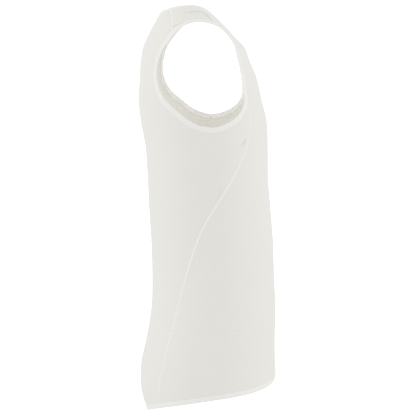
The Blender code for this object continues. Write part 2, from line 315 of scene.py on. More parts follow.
    def stretch(self, knots: Array, first: int, last: int, count: int) -> Array:
        """Space places evenly on the smooth line through knots, between two of them.

        Args:
            knots: places that the whole line passes.
            first: the knot to start from.
            last: the knot to end at.
            count: how many steps to make.

        Returns:
            count + 1 places.
        """
        walk = self.walked(knots)
        fine = np.linspace(walk[first], walk[last], self.steps_per_span * (last - first) + 1)
        return self.resampled(hermite(walk, knots, fine), count)


def places(knots: Knots) -> Array:
    """Give the (angle, z) pairs of knots."""
    return np.array(knots) * [math.pi / 180, 1]


def crowded(count: int, spots: list[tuple[float, float, float]], fine_steps: int = 4000) -> Array:
    """Give count + 1 rising shares from 0 to 1 that lie closer together around some spots.

    Their spacing is the inverse of a density: 1, and more by a bell exp(-(away / half width)^4)
    at each spot.

    Args:
        count: how many steps there are.
        spots: the share, the extra density and the bell's half width of each spot.
        fine_steps: how finely the density is added up.

    Returns:
        The shares.
    """
    fine = np.linspace(0, 1, fine_steps + 1)
    density = np.ones(len(fine))
    for share, extra, width in spots:
        density += extra * np.exp(-(((fine - share) / width) ** 4))
    total = np.append(0, np.cumsum((density[1:] + density[:-1]) / 2))
    return np.interp(np.linspace(0, total[-1], count + 1), total, fine)


@dataclass
class ClothMap:
    """Flat cloth coordinates in metres, on which the knit's pattern lies."""

    form: BodyForm
    turns: int = 360
    climbs: int = 372
    low: float = -0.74
    high: float = 0.005

    def __post_init__(self) -> None:
        """Walk round the form at many heights and up it at many angles, and keep the distances."""
        angles = np.linspace(0, math.pi, self.turns + 1)
        heights = np.linspace(self.low, self.high, self.climbs + 1)
        points = self.form.point(np.stack(np.meshgrid(angles, heights), axis=-1))
        round_it = np.linalg.norm(np.diff(points, axis=1), axis=-1)
        up_it = np.linalg.norm(np.diff(points, axis=0), axis=-1)
        around = np.hstack([np.zeros((len(heights), 1)), np.cumsum(round_it, axis=1)])
        upward = np.vstack([np.zeros((1, len(angles))), np.cumsum(up_it, axis=0)])
        self.tables = (around, upward)

    def flat(self, place: Array) -> Array:
        """Read both distances at places, bilinearly.

        Args:
            place: (angle, z) pairs with angles from -pi to pi.

        Returns:
            (around, upward) pairs, where around is negative on the wearer's right.
        """
        column = np.abs(place[..., 0]) / math.pi * self.turns
        row = (place[..., 1] - self.low) / (self.high - self.low) * self.climbs
        j = np.clip(column.astype(int), 0, self.turns - 1)
        i = np.clip(row.astype(int), 0, self.climbs - 1)
        s, t = column - j, row - i
        read = []
        for table in self.tables:
            below = table[i, j] * (1 - s) + table[i, j + 1] * s
            above = table[i + 1, j] * (1 - s) + table[i + 1, j + 1] * s
            read.append(below * (1 - t) + above * t)
        return np.stack([read[0] * np.sign(place[..., 0]), read[1]], axis=-1)


# ---------------------------------------------------------------- creases


@dataclass(frozen=True)
class Crease:
    """One soft crease: a trough, with a ridge on one side, or a ridge alone if depth is negative."""

    path: Knots
    depth: float
    width: float
    ridge: float = 0.4
    ridge_away: float = 1.9
    ridge_width: float = 1.3
    fade: float = 0.8
    reach: float = 4.0
    curve_steps: int = 40
    steps: int = 28

    def relief(self, form: BodyForm, points: Array) -> Array:
        """Give how far the crease lifts the cloth at points.

        Across the crease the cloth falls as -depth exp(-(d / width)^2) at distance d, and rises
        by a share of it beside the trough. Along it both fade as the sine of the way along.

        Args:
            form: the form that the crease lies on.
            points: points of the cloth.

        Returns:
            The rise along the normal, in metres.
        """
        curve = form.stretch(places(self.path), 0, len(self.path) - 1, self.curve_steps)
        line = form.resampled(curve, self.steps)
        spots, normals = form.point(line), form.normal(line)
        reach = self.reach * self.width
        low, high = spots.min(axis=0) - reach, spots.max(axis=0) + reach
        near = np.flatnonzero(np.all((points > low) & (points < high), axis=1))
        rise = np.zeros(len(points))
        if not len(near):
            return rise
        spans = np.diff(spots, axis=0)
        away = points[near, None] - spots[None, :-1]
        share = np.clip(np.sum(away * spans, -1) / np.sum(spans * spans, -1), 0, 1)
        gap = away - share[..., None] * spans
        distance = np.linalg.norm(gap, axis=-1)
        closest = distance.argmin(axis=1)
        rows = np.arange(len(near))
        side = np.cross(normals[:-1], unit(spans))[closest]
        across = np.copysign(distance[rows, closest], np.sum(gap[rows, closest] * side, -1))
        across = across / self.width
        way = (closest + share[rows, closest]) / len(spans)
        beside = np.exp(-(((across - self.ridge_away) / self.ridge_width) ** 2))
        profile = self.ridge * beside - np.exp(-(across**2))
        rise[near] = self.depth * profile * np.sin(math.pi * way) ** self.fade
        return rise


# The first eight follow the picture. The others are like them, most where the picture shows none.
CREASES = (
    Crease(((-142, -0.57), (-124, -0.5618), (-97, -0.5541), (-72, -0.5558), (-44, -0.566)), 0.0004, 0.0013),
    Crease(((-63.4, -0.2262), (-65.3, -0.2296), (-67.6, -0.2345)), 0.0018, 0.0010),
    Crease(((-82.4, -0.306), (-83.3, -0.317), (-84.6, -0.329)), 0.0006, 0.0008),
    Crease(((-163, -0.582), (-157, -0.605), (-156.5, -0.622), (-153.5, -0.642)), -0.0013, 0.0024),
    Crease(
        ((-106, -0.015), (-93, -0.0122), (-84.4, -0.0119), (-81.6, -0.0175), (-80.6, -0.0293)), 0.0022, 0.0011
    ),
    Crease(((-109.6, -0.0368), (-105.4, -0.0337), (-101.5, -0.0308), (-96, -0.0262)), 0.0016, 0.0010),
    Crease(((-147.5, -0.0598), (-134.8, -0.0486), (-124.1, -0.0419), (-115.6, -0.0371)), 0.0006, 0.0022),
    Crease(((-104, -0.185), (-112, -0.204), (-124, -0.218)), 0.0006, 0.0045),
    Crease(((138, -0.569), (118, -0.562), (92, -0.557), (60, -0.559), (38, -0.566)), 0.0004, 0.0014),
    Crease(((64.8, -0.228), (66.9, -0.233), (69.8, -0.237)), 0.0014, 0.0014),
    Crease(((103, -0.19), (113, -0.211), (127, -0.223)), 0.0007, 0.0050),
    Crease(((84.6, -0.308), (85.9, -0.318), (88.4, -0.329)), 0.0011, 0.0015),
    Crease(((86.2, -0.2105), (87, -0.223), (87.8, -0.236)), 0.0005, 0.0013),
    Crease(((158, -0.594), (153, -0.617), (151, -0.636)), -0.0011, 0.0026),
    Crease(((103, -0.0145), (91, -0.0126), (83, -0.014), (81, -0.024)), 0.0009, 0.0014),
    Crease(((108.5, -0.0362), (103, -0.0322), (97, -0.0272)), 0.0012, 0.0012),
    Crease(((146, -0.059), (131, -0.045), (118, -0.0385)), 0.0006, 0.0024),
    Crease(((-44, -0.112), (-34, -0.133), (-22, -0.145)), 0.0006, 0.0060),
    Crease(((43, -0.116), (31, -0.139), (16, -0.153)), 0.0006, 0.0065),
    Crease(((-176, -0.395), (-158, -0.402), (-138, -0.416)), 0.0006, 0.0055),
    Crease(((174, -0.424), (155, -0.429), (136, -0.442)), 0.0007, 0.0060),
    Crease(((-30, -0.388), (-14, -0.396), (4, -0.394)), 0.0004, 0.0060),
)


def creased(form: BodyForm, points: Array) -> Array:
    """Add up the rise of every crease at points."""
    return sum(crease.relief(form, points) for crease in CREASES)


# ---------------------------------------------------------------- seams and edges


@dataclass
class CutLines:
    """The seams and edges on the wearer's left, which neighbouring pieces share."""

    form: BodyForm
    binding_width: float = 0.0095
    tuck: float = 0.0022
    neck_half_width: float = 0.0875
    neck_front_y: float = -0.0625
    neck_side_y: float = 0.028
    neck_back_y: float = 0.081
    hem_front_z: float = -0.6645
    hem_back_drop: float = 0.0645
    hem_sweep: float = 2.8
    shoulder_seam_start: float = 116.0
    side_seam_length: float = 0.52
    seam_foot_lean: float = 0.004
    waist_rows: int = 190
    chest_rows: int = 30
    strap_rows: int = 60
    back_rows: int = 48
    nape_rows: int = 16
    panel_columns: int = 70
    side_columns: int = 22
    neck_steps: int = 360
    shoulder_steps: int = 240
    side_seam_steps: int = 400
    hem_steps: int = 1440
    neck_ring_steps: int = 520
    armhole_ring_steps: int = 560
    hem_ring_steps: int = 640
    fine_heights: tuple[tuple[float, float, float], ...] = (
        (-0.5600, 3.2, 0.016),
        (-0.3175, 2.8, 0.016),
        (-0.2390, 3.6, 0.018),
    )
    fine_columns: tuple[tuple[float, float, float], ...] = ((0.27, 1.3, 0.10), (0.88, 1.6, 0.12))
    seam_crowd: tuple[float, float, float] = (1.0, 2.2, 0.3)
    underarm_knot: int = 3
    shoulder_knot: int = 9
    armhole_knots: Knots = (
        *((64.2, -0.1650), (67.5, -0.1785), (76.0, -0.1955), (86.5, -0.2030)),
        *((97.0, -0.1945), (106.0, -0.1745), (113.6, -0.1545), (118.7, -0.1250)),
        *((117.0, -0.0900), (107.7, -0.0485), (98.5, -0.0330), (88.6, -0.0278)),
        *((80.5, -0.0335), (73.2, -0.0520), (67.6, -0.0880), (64.8, -0.1300)),
    )
    side_knots: Knots = (
        *((58.6, -0.1930), (60.6, -0.2190), (67.6, -0.2590), (79.3, -0.3118), (95.6, -0.3815)),
        *((107.6, -0.4620), (115.4, -0.5383), (119.6, -0.6020), (121.8, -0.6550), (123.2, -0.6900)),
    )

    def __post_init__(self) -> None:
        """Work out each line once, at the places where the pieces have theirs."""
        self.under_edge = self.binding_width - self.tuck
        self.columns = crowded(self.panel_columns, list(self.fine_columns))
        self.find_armhole()
        self.find_neck()
        self.find_shoulder_seam()
        self.find_side_seam()

    def find_armhole(self) -> None:
        """Go round the open edge of the armhole, and give each panel its share below the binding."""
        wraps = 2
        ring = self.armhole_knots
        knots = places(ring[-wraps:] + ring + ring[: wraps + 1])
        underarm, shoulder = wraps + self.underarm_knot, wraps + self.shoulder_knot
        behind_rows, over_rows = self.back_rows + self.nape_rows, self.strap_rows + self.chest_rows
        stretch = self.form.stretch
        below = stretch(knots, wraps, underarm, self.side_columns)
        behind = stretch(knots, underarm, shoulder, behind_rows)
        over = stretch(knots, shoulder, wraps + len(ring), over_rows)
        self.armhole = np.vstack([below, behind[1:], over[1:-1]])
        edge = self.form.beside(self.armhole, -self.under_edge, closed=True)
        at_shoulder = self.side_columns + behind_rows
        to_seam = 1 - crowded(self.side_columns, [self.seam_crowd])[::-1]
        self.panel_below = self.form.shared_out(edge[: self.side_columns + 1], to_seam)
        self.panel_behind = edge[self.side_columns : at_shoulder + 1]
        self.panel_over = np.vstack([edge[at_shoulder:], edge[:1]])

    def find_neck(self) -> None:
        """Go round the open edge of the neck, an oval from above, from front to back."""
        turn = np.linspace(0, math.pi, self.neck_steps + 1)
        ahead, behind = self.neck_side_y - self.neck_front_y, self.neck_back_y - self.neck_side_y
        depth = np.where(np.cos(turn) > 0, ahead, behind)
        x, y = self.neck_half_width * np.sin(turn), self.neck_side_y - depth * np.cos(turn)
        self.neck = self.form.from_above(x, y)
        self.neck[0, 0], self.neck[-1, 0] = 0, math.pi
        line = self.form.beside(self.neck, -self.under_edge)
        line[0, 0], line[-1, 0] = 0, math.pi
        split = int(np.searchsorted(line[:, 0], math.radians(self.shoulder_seam_start)))
        self.panel_neck = self.form.resampled(line[: split + 1], self.strap_rows)
        self.panel_nape = self.form.resampled(line[split:], self.nape_rows)

    def find_shoulder_seam(self) -> None:
        """Run the shoulder seam, straight from above, from the neck to the armhole."""
        start, end = self.panel_neck[-1], self.panel_over[0]
        share = np.linspace(0, 1, self.shoulder_steps + 1)[:, None]
        straight = self.form.point(start) * (1 - share) + self.form.point(end) * share
        seam = self.form.from_above(straight[:, 0], straight[:, 1])
        seam[0], seam[-1] = start, end
        self.shoulder = self.form.shared_out(seam, self.columns)

    def find_side_seam(self) -> None:
        """Run the side seam up from the panels' lower edge to the armhole, and past the hem band."""
        knots = np.vstack([self.panel_over[-1:], places(self.side_knots)])
        foot_angle = knots[-1, 0]
        knots[-1, 1] = self.hem_z(foot_angle) + self.under_edge
        seam = self.form.stretch(knots, 0, len(self.side_knots), self.side_seam_steps)[::-1]
        up_it = self.form.walked(seam) / self.form.walked(seam)[-1]
        spots = []
        for z, extra, reach in self.fine_heights:
            share = float(np.interp(z, seam[:, 1], up_it))
            spots.append((share, extra, reach / self.side_seam_length))
        self.rows_up = crowded(self.waist_rows, spots)
        self.side_seam = self.form.shared_out(seam, self.rows_up)
        foot = np.array([[foot_angle + self.seam_foot_lean, self.hem_z(foot_angle)]])
        self.covered_seam = np.vstack([foot, self.side_seam])

    def hem_z(self, angle: Array) -> Array:
        """Give the height of the hem's open edge at an angle: lower behind, by a power of the turn."""
        back = (1 - np.cos(angle)) / 2
        return self.hem_front_z - self.hem_back_drop * back**self.hem_sweep

    def panel_foot(self, angles: Array) -> Array:
        """Give the panels' lower edge, tucked under the hem band, at some angles."""
        return np.stack([angles, self.hem_z(angles) + self.under_edge], axis=-1)

    def neck_ring(self) -> Array:
        """Go once round the open edge of the neck, from the front over the wearer's left.

        Returns:
            The ring's places, without the first again at the end.
        """
        right = self.neck[-2:0:-1] * [-1, 1] + [2 * math.pi, 0]
        whole = np.vstack([self.neck, right, self.neck[:1] + [2 * math.pi, 0]])
        return self.form.resampled(whole, self.neck_ring_steps)[:-1]

    def armhole_ring(self) -> Array:
        """Go once round the open edge of the left armhole."""
        whole = np.vstack([self.armhole, self.armhole[:1]])
        return self.form.resampled(whole, self.armhole_ring_steps)[:-1]

    def hem_ring(self) -> Array:
        """Go once round the open edge of the hem, from the front over the wearer's left.

        Returns:
            The ring's places, without the first again at the end.
        """
        angles = np.linspace(0, 2 * math.pi, self.hem_steps + 1)
        whole = np.stack([angles, self.hem_z(angles)], axis=-1)
        return self.form.resampled(whole, self.hem_ring_steps)[:-1]


# ---------------------------------------------------------------- meshes


@dataclass
class Patch:
    """Faces with four corners, of which each has its own flat coordinates."""

    spots: Array
    faces: Array
    flat: Array

    def mirrored(self) -> "Patch":
        """Give the same patch on the wearer's other side, still facing outwards."""
        turned = self.flat[:, ::-1] * [-1, 1]
        return Patch(self.spots * [-1, 1], self.faces[:, ::-1], turned)


def filled(bottom: Array, top: Array, left: Array, right: Array, shares: Array) -> Array:
    """Fill four edge lines with a grid of places.

    Each row runs straight between the side lines, and the end rows' own curves are added to it,
    fading with the cube of the way from them.

    Args:
        bottom: places of the first row.
        top: places of the last row.
        left: places of the first column.
        right: places of the last column.
        shares: how far across each column stands, from 0 to 1.

    Returns:
        The grid, with one row for each place of the side lines.
    """
    s = shares[None, :, None]
    t = np.linspace(0, 1, len(left))[:, None, None]
    rows = left[:, None] * (1 - s) + right[:, None] * s
    return rows + (1 - t) ** 3 * (bottom - rows[0]) + t**3 * (top - rows[-1])


def cells(table: Array, along_first: bool = False) -> Array:
    """Give the four corners of each cell of a table, row by row.

    Args:
        table: point numbers, or pairs of coordinates.
        along_first: go from a corner to the next row first, and not to the next column.

    Returns:
        One row of four corners for each cell.
    """
    here, beside, across, along = table[:-1, :-1], table[:-1, 1:], table[1:, 1:], table[1:, :-1]
    order = (here, along, across, beside) if along_first else (here, beside, across, along)
    corners = np.stack(order, axis=2)
    return corners.reshape(-1, *corners.shape[2:])


def swept(grid: Array, walk: Array, round_it: Array, ring: bool, along_first: bool) -> Mesh:
    """Join closed sections, carried along a path, into a tube.

    Args:
        grid: the sections' points, one row for each section.
        walk: how far along the path each section stands, and a ring's whole length.
        round_it: how far round the section each corner lies, and the whole way round.
        ring: whether the last section joins the first.
        along_first: the order of the faces' corners.

    Returns:
        The tube, with open ends if it isn't a ring.
    """
    index = np.arange(grid[..., 0].size).reshape(grid.shape[:2])
    index = np.hstack([index, index[:, :1]])
    if ring:
        index = np.vstack([index, index[:1]])
    flat = np.stack(np.meshgrid(walk, round_it, indexing="ij"), axis=-1)
    return grid.reshape(-1, 3), cells(index, along_first), cells(flat, along_first)


def joined(parts: list[Mesh]) -> Mesh:
    """Join meshes into one.

    Args:
        parts: the meshes.

    Returns:
        One mesh, with the points and faces of each in turn.
    """
    starts = np.cumsum([0] + [len(points) for points, _, _ in parts])
    faces = np.vstack([part[1] + start for part, start in zip(parts, starts)])
    return np.vstack([part[0] for part in parts]), faces, np.vstack([part[2] for part in parts])


def make_object(name: str, mesh: Mesh, finish: Material) -> Thing:
    """Put a mesh with smooth shading and the map "cloth" into the scene.

    Args:
        name: the object's name.
        mesh: its points, faces and flat coordinates.
        finish: its material.

    Returns:
        The object, at the origin.
    """
    points, faces, flat = mesh
    data = bpy.data.meshes.new(name)
    data.from_pydata(points.tolist(), [], faces.tolist())
    layer = data.uv_layers.new(name="cloth")
    layer.data.foreach_set("uv", flat.reshape(-1).astype(np.float32))
    data.shade_smooth()
    data.materials.append(finish)
    thing = bpy.data.objects.new(name, data)
    bpy.context.scene.collection.objects.link(thing)
    return thing


def add_piece(name: str, mesh: Mesh, finish: Material, side: Side = Side.LEFT) -> Thing:
    """Add a piece that rides on the top's one body.

    Args:
        name: the piece's name.
        mesh: its mesh, as it is on the wearer's left.
        finish: its material.
        side: the wearer's left, or the right to mirror it.

    Returns:
        The piece.
    """
    points, faces, flat = mesh
    if side is Side.RIGHT:
        points, faces, flat = points * [-1, 1, 1], faces[:, ::-1], flat[:, ::-1]
    piece = make_object(name, (points, faces, flat), finish)
    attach(piece, "root")
    LOG.info("%s: %d faces", name, len(faces))
    return piece


def shell(form: BodyForm, patches: list[Patch], proud: float, thickness: float) -> Mesh:
    """Close patches of cloth into one thin shell.

    Points that patches share are merged. The outer face stands proud of the form and follows
    the creases, the inner face lies the thickness below it along the normals, and strips close
    the edges.

    Args:
        form: the form that the cloth lies on.
        patches: patches that share their edge points.
        proud: how far the outer face stands over the form.
        thickness: from the outer face to the inner one.

    Returns:
        The shell.
    """
    spots, faces, flat = joined([(patch.spots, patch.faces, patch.flat) for patch in patches])
    rounded = form.point(spots).round(WELD_DECIMALS) + 0.0
    _, first, weld = np.unique(rounded, axis=0, return_index=True, return_inverse=True)
    spots, faces = spots[first], weld.reshape(-1)[faces]
    base, out = form.point(spots), form.normal(spots)
    middle = np.abs(base[:, 0]) < MIDDLE_REACH
    base[middle, 0] = out[middle, 0] = 0
    outer = base + out * (proud + creased(form, base))[:, None]
    inner = outer - out * thickness
    count = len(spots)
    starts_at, ends_at = faces, np.roll(faces, -1, axis=1)
    forth, back = starts_at * count + ends_at, ends_at * count + starts_at
    open_face, open_side = np.nonzero(~np.isin(forth, back))
    a, b = starts_at[open_face, open_side], ends_at[open_face, open_side]
    flat_a, flat_b = flat[open_face, open_side], flat[open_face, (open_side + 1) % 4]
    rims = np.stack([b, a, a + count, b + count], axis=-1)
    drop = np.array([0.0, thickness])
    rim_flat = np.stack([flat_b, flat_a, flat_a + drop, flat_b + drop], axis=1)
    every_face = np.vstack([faces, faces[:, ::-1] + count, rims])
    every_flat = np.vstack([flat, flat[:, ::-1], rim_flat])
    return np.vstack([outer, inner]), every_face, every_flat


# ---------------------------------------------------------------- shader expressions


class Signal:
    """A number that varies over a surface, on which sums and products add Math nodes."""

    def __init__(self, shades: "Shades", socket: bpy.types.NodeSocket) -> None:
        """Wrap an output socket."""
        self.shades, self.socket = shades, socket

    def __add__(self, other: "Signal | float") -> "Signal":
        """Add."""
        return self.shades.math("ADD", self, other)

    def __sub__(self, other: "Signal | float") -> "Signal":
        """Take away."""
        return self.shades.math("SUBTRACT", self, other)

    def __rsub__(self, other: "Signal | float") -> "Signal":
        """Take this away from a number."""
        return self.shades.math("SUBTRACT", other, self)

    def __mul__(self, other: "Signal | float") -> "Signal":
        """Multiply."""
        return self.shades.math("MULTIPLY", self, other)

    __radd__, __rmul__ = __add__, __mul__


class Shades:
    """A material's nodes, made by one method, with its shader and output in place."""

    def __init__(self, name: str) -> None:
        """Start a material with one shader."""
        self.material = bpy.data.materials.new(name)
        self.material.use_nodes = True
        self.tree = self.material.node_tree
        self.tree.nodes.clear()
        self.shader = self.node("ShaderNodeBsdfPrincipled", {}, {})
        self.node("ShaderNodeOutputMaterial", {}, {"Surface": self.shader.outputs["BSDF"]})

    def node(self, kind: str, settings: dict, sockets: dict) -> bpy.types.Node:
        """Make a node.

        Args:
            kind: the node's type.
            settings: properties of the node, set first.
            sockets: values, signals or output sockets for its inputs, by name or number.

        Returns:
            The node.
        """
        made = self.tree.nodes.new(kind)
        for name, value in settings.items():
            setattr(made, name, value)
        for name, value in sockets.items():
            self.feed(made.inputs[name], value)
        return made

    def feed(self, socket: bpy.types.NodeSocket, value: object) -> None:
        """Give an input socket its value or its link.

        Args:
            socket: the input.
            value: a value, a signal or an output socket.
        """
        if isinstance(value, Signal):
            value = value.socket
        if isinstance(value, bpy.types.NodeSocket):
            self.tree.links.new(value, socket)
        else:
            socket.default_value = value

    def math(self, operation: str, *values: "Signal | float") -> Signal:
        """Add a Math node on numbers."""
        made = self.node("ShaderNodeMath", {"operation": operation}, dict(enumerate(values)))
        return Signal(self, made.outputs[0])

    def wave(self, way: Signal, length: float) -> Signal:
        """Give the cosine of 2 pi way / length."""
        return self.math("COSINE", way * (2 * math.pi / length))

    def cloth(self) -> tuple[Signal, Signal]:
        """Read the piece's map.

        Returns:
            Both flat cloth coordinates, in metres.
        """
        where = self.node("ShaderNodeUVMap", {"uv_map": "cloth"}, {})
        split = self.node("ShaderNodeSeparateXYZ", {}, {"Vector": where.outputs["UV"]})
        return Signal(self, split.outputs["X"]), Signal(self, split.outputs["Y"])

    def cloud(self, size: float, detail: float) -> Signal:
        """Give smooth noise from 0 to 1.

        Args:
            size: about how far across its patches are, in metres.
            detail: how many finer layers it has.

        Returns:
            The noise.
        """
        where = self.node("ShaderNodeTexCoord", {}, {})
        sockets = {"Vector": where.outputs["Object"], "Scale": 1 / size, "Detail": detail}
        return Signal(self, self.node("ShaderNodeTexNoise", {}, sockets).outputs["Fac"])

    def tones(self, share: Signal, colour: Colour, low: float, high: float) -> bpy.types.NodeSocket:
        """Mix a darker and a lighter tone of one linear colour.

        Args:
            share: the share of the lighter tone.
            colour: the colour.
            low: the darker tone's scale.
            high: the lighter tone's scale.

        Returns:
            The mixed colour.
        """
        dark, light = (tuple(part * scale for part in colour) + (1,) for scale in (low, high))
        settings = {"data_type": "RGBA", "clamp_factor": True}
        return self.node("ShaderNodeMix", settings, {0: share, 6: dark, 7: light}).outputs[2]

    def bump(
        self, height: Signal, metres: float, below: bpy.types.NodeSocket | None = None
    ) -> bpy.types.NodeSocket:
        """Turn a height from 0 to 1 into a bumped normal.

        Args:
            height: the height.
            metres: how high 1 is.
            below: a bumped normal that this one lies on.

        Returns:
            The normal.
        """
        sockets = {"Height": height, "Distance": metres, "Strength": 1.0}
        if below is not None:
            sockets["Normal"] = below
        return self.node("ShaderNodeBump", {}, sockets).outputs["Normal"]

    def dress(self, sockets: dict) -> Material:
        """Feed the shader.

        Args:
            sockets: values, signals or output sockets for its inputs, by name.

        Returns:
            The finished material.
        """
        for name, value in sockets.items():
            self.feed(self.shader.inputs[name], value)
        return self.material


# ---------------------------------------------------------------- finishes


@dataclass(frozen=True)
class PiqueKnit:
    """Fine off-white pique knit: small raised dots in an offset lattice over tiny stitches, with painted
    shade between the dots.
    """

    colour: Colour = (0.800, 0.792, 0.754)
    dot_column: float = 0.0043
    dot_row: float = 0.00375
    column_share: float = 0.13
    row_share: float = 0.20
    stitch_wale: float = 0.00085
    stitch_course: float = 0.0007
    # How much darker the colour is painted between the dots: painted shade of their relief.
    dot_painted_shade: float = 0.053
    unevenness: float = 0.018
    cloud_size: float = 0.045
    cloud_detail: float = 3.0
    dot_height: float = 0.0001
    stitch_height: float = 0.000015
    roughness: float = 0.86
    roughness_dip: float = 0.06
    specular: float = 0.25
    sheen: float = 0.12
    sheen_roughness: float = 0.5

    def material(self) -> Material:
        """Make the material.

        Dots stand where cos(pi u / column) cos(pi v / row) is near 1, so every second crossing
        of columns and rows has one. A cosine along each column and row joins them a little.
        Stitches are the sum of two much finer cosines. The colour is painted darker between the dots, as
        the shade of their relief, and a slow cloud adds a random unevenness of tone.

        Returns:
            The material.
        """
        shades = Shades("pique_knit")
        u, v = shades.cloth()
        columns, rows = shades.wave(u, 2 * self.dot_column), shades.wave(v, 2 * self.dot_row)
        lines = self.column_share * shades.wave(u, self.dot_column)
        lines = lines + self.row_share * shades.wave(v, self.dot_row)
        dots = 0.5 + (0.5 - self.column_share - self.row_share) * columns * rows + lines
        wales, courses = shades.wave(u, self.stitch_wale), shades.wave(v, self.stitch_course)
        stitches = 0.5 + 0.25 * wales + 0.25 * courses
        # Painted shade: the colour darkens between the raised dots, as their shade would; the cloud is random
        # tone.
        reach = self.dot_painted_shade + self.unevenness
        light = dots * (self.dot_painted_shade / reach)
        cloud = shades.cloud(self.cloud_size, self.cloud_detail)
        light = light + cloud * (self.unevenness / reach)
        relief = shades.bump(dots, self.dot_height)
        return shades.dress(
            {
                "Base Color": shades.tones(light, self.colour, 1 - reach / 2, 1 + reach / 2),
                "Roughness": self.roughness - self.roughness_dip * dots,
                "Normal": shades.bump(stitches, self.stitch_height, relief),
                "Specular IOR Level": self.specular,
                "Sheen Weight": self.sheen,
                "Sheen Roughness": self.sheen_roughness,
            }
        )


@dataclass(frozen=True)
class SmoothKnit:
    """Off-white smooth knit of the bindings: fine ribs across the strip, no dots."""

    name: str = "smooth_knit"
    colour: Colour = (0.851, 0.843, 0.814)
    wale: float = 0.0009
    wale_share: float = 0.3
    course: float = 0.0008
    course_share: float = 0.2
    contrast: float = 0.02
    # The share of the colour swing that darkens between the stitches: painted shade of their relief.
    stitch_shade_share: float = 0.3
    cloud_size: float = 0.03
    cloud_detail: float = 2.0
    height: float = 0.000015
    roughness: float = 0.8
    roughness_rise: float = 0.05
    specular: float = 0.3
    sheen: float = 0.1
    sheen_roughness: float = 0.5

    def material(self) -> Material:
        """Make the material: stitches as two crossed fine cosines, and a slow unevenness.

        Returns:
            The material.
        """
        shades = Shades(self.name)
        u, v = shades.cloth()
        wales = self.wale_share * shades.wave(u, self.wale)
        stitches = 0.5 + wales + self.course_share * shades.wave(v, self.course)
        cloud = shades.cloud(self.cloud_size, self.cloud_detail)
        # Painted shade: the colour darkens between the stitches, where their bump is low; the cloud adds
        # random tone.
        share = self.stitch_shade_share * stitches + (1 - self.stitch_shade_share) * cloud
        swing = self.contrast / 2
        return shades.dress(
            {
                "Base Color": shades.tones(share, self.colour, 1 - swing, 1 + swing),
                "Roughness": self.roughness + self.roughness_rise * cloud,
                "Normal": shades.bump(stitches, self.height),
                "Specular IOR Level": self.specular,
                "Sheen Weight": self.sheen,
                "Sheen Roughness": self.sheen_roughness,
            }
        )


@dataclass(frozen=True)
class SewingThread:
    """Twisted polyester thread, a little brighter and shinier than the cloth."""

    colour: Colour = (0.865, 0.857, 0.829)
    # Tones of the twist's grooves and crowns: painted shade in the grooves and painted light on the crowns.
    dark: float = 0.96
    light: float = 1.02
    twist: float = 0.0006
    slant: float = 0.6
    height: float = 0.00005
    roughness: float = 0.55
    roughness_rise: float = 0.1
    specular: float = 0.4

    def material(self) -> Material:
        """Make the material: the twist is a slanted cosine of both flat coordinates.

        Returns:
            The material.
        """
        shades = Shades("sewing_thread")
        u, v = shades.cloth()
        # Painted shade: the colour darkens in the twist's grooves, where its bump is low, and lightens on its
        # crowns.
        twist = 0.5 + 0.5 * shades.wave(u + self.slant * v, self.twist)
        return shades.dress(
            {
                "Base Color": shades.tones(twist, self.colour, self.dark, self.light),
                "Roughness": self.roughness + self.roughness_rise * twist,
                "Normal": shades.bump(twist, self.height),
                "Specular IOR Level": self.specular,
            }
        )


@dataclass(frozen=True)
class WhitePaper:
    """White paper of the surroundings, which shines with an even light of its own."""

    white: float = 0.8
    roughness: float = 0.9
    strength: float = 1.0

    def material(self) -> Material:
        """Make the material.

        Returns:
            The material.
        """
        return Shades("white_paper").dress(
            {
                "Base Color": (self.white, self.white, self.white, 1),
                "Roughness": self.roughness,
                "Emission Color": (1, 1, 1, 1),
                "Emission Strength": self.strength,
            }
        )


# ---------------------------------------------------------------- panels


def up_middle(angle: float, low: float, high: float, shares: Array) -> Array:
    """Space places up the middle of the front or the back, at shares of the way."""
    return np.stack([np.full(len(shares), angle), low + (high - low) * shares], axis=-1)


@dataclass
class Panel:
    """What both panels share: their cloth and how they are made into one shell."""

    form: BodyForm
    lines: CutLines
    flat_map: ClothMap
    proud: float = 0.0008
    thickness: float = 0.0009

    def patch(self, grid: Array, rightwards: bool) -> Patch:
        """Make a patch from a grid of places.

        Args:
            grid: the places.
            rightwards: whether its columns run to the right, seen from outside.

        Returns:
            The patch.
        """
        faces = cells(np.arange(grid[..., 0].size).reshape(grid.shape[:2]))
        if not rightwards:
            faces = faces[:, ::-1]
        spots = grid.reshape(-1, 2)
        return Patch(spots, faces, self.flat_map.flat(spots)[faces])

    def finish(self, name: str, half: list[Patch], knit: Material) -> Thing:
        """Close the shell of both halves, and dress it.

        Args:
            name: the CAD node that the panel replaces.
            half: the patches of the wearer's left half.
            knit: the panel's material.

        Returns:
            The finished object.
        """
        patches = half + [patch.mirrored() for patch in half]
        mesh = shell(self.form, patches, self.proud, self.thickness)
        panel = add_piece(name + "_cloth", mesh, knit)
        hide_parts(name)
        return panel

    def across(self, start: Array, end: Array) -> Array:
        """Space the panel's columns from one place to another."""
        share = self.lines.columns[:, None]
        return start * (1 - share) + end * share


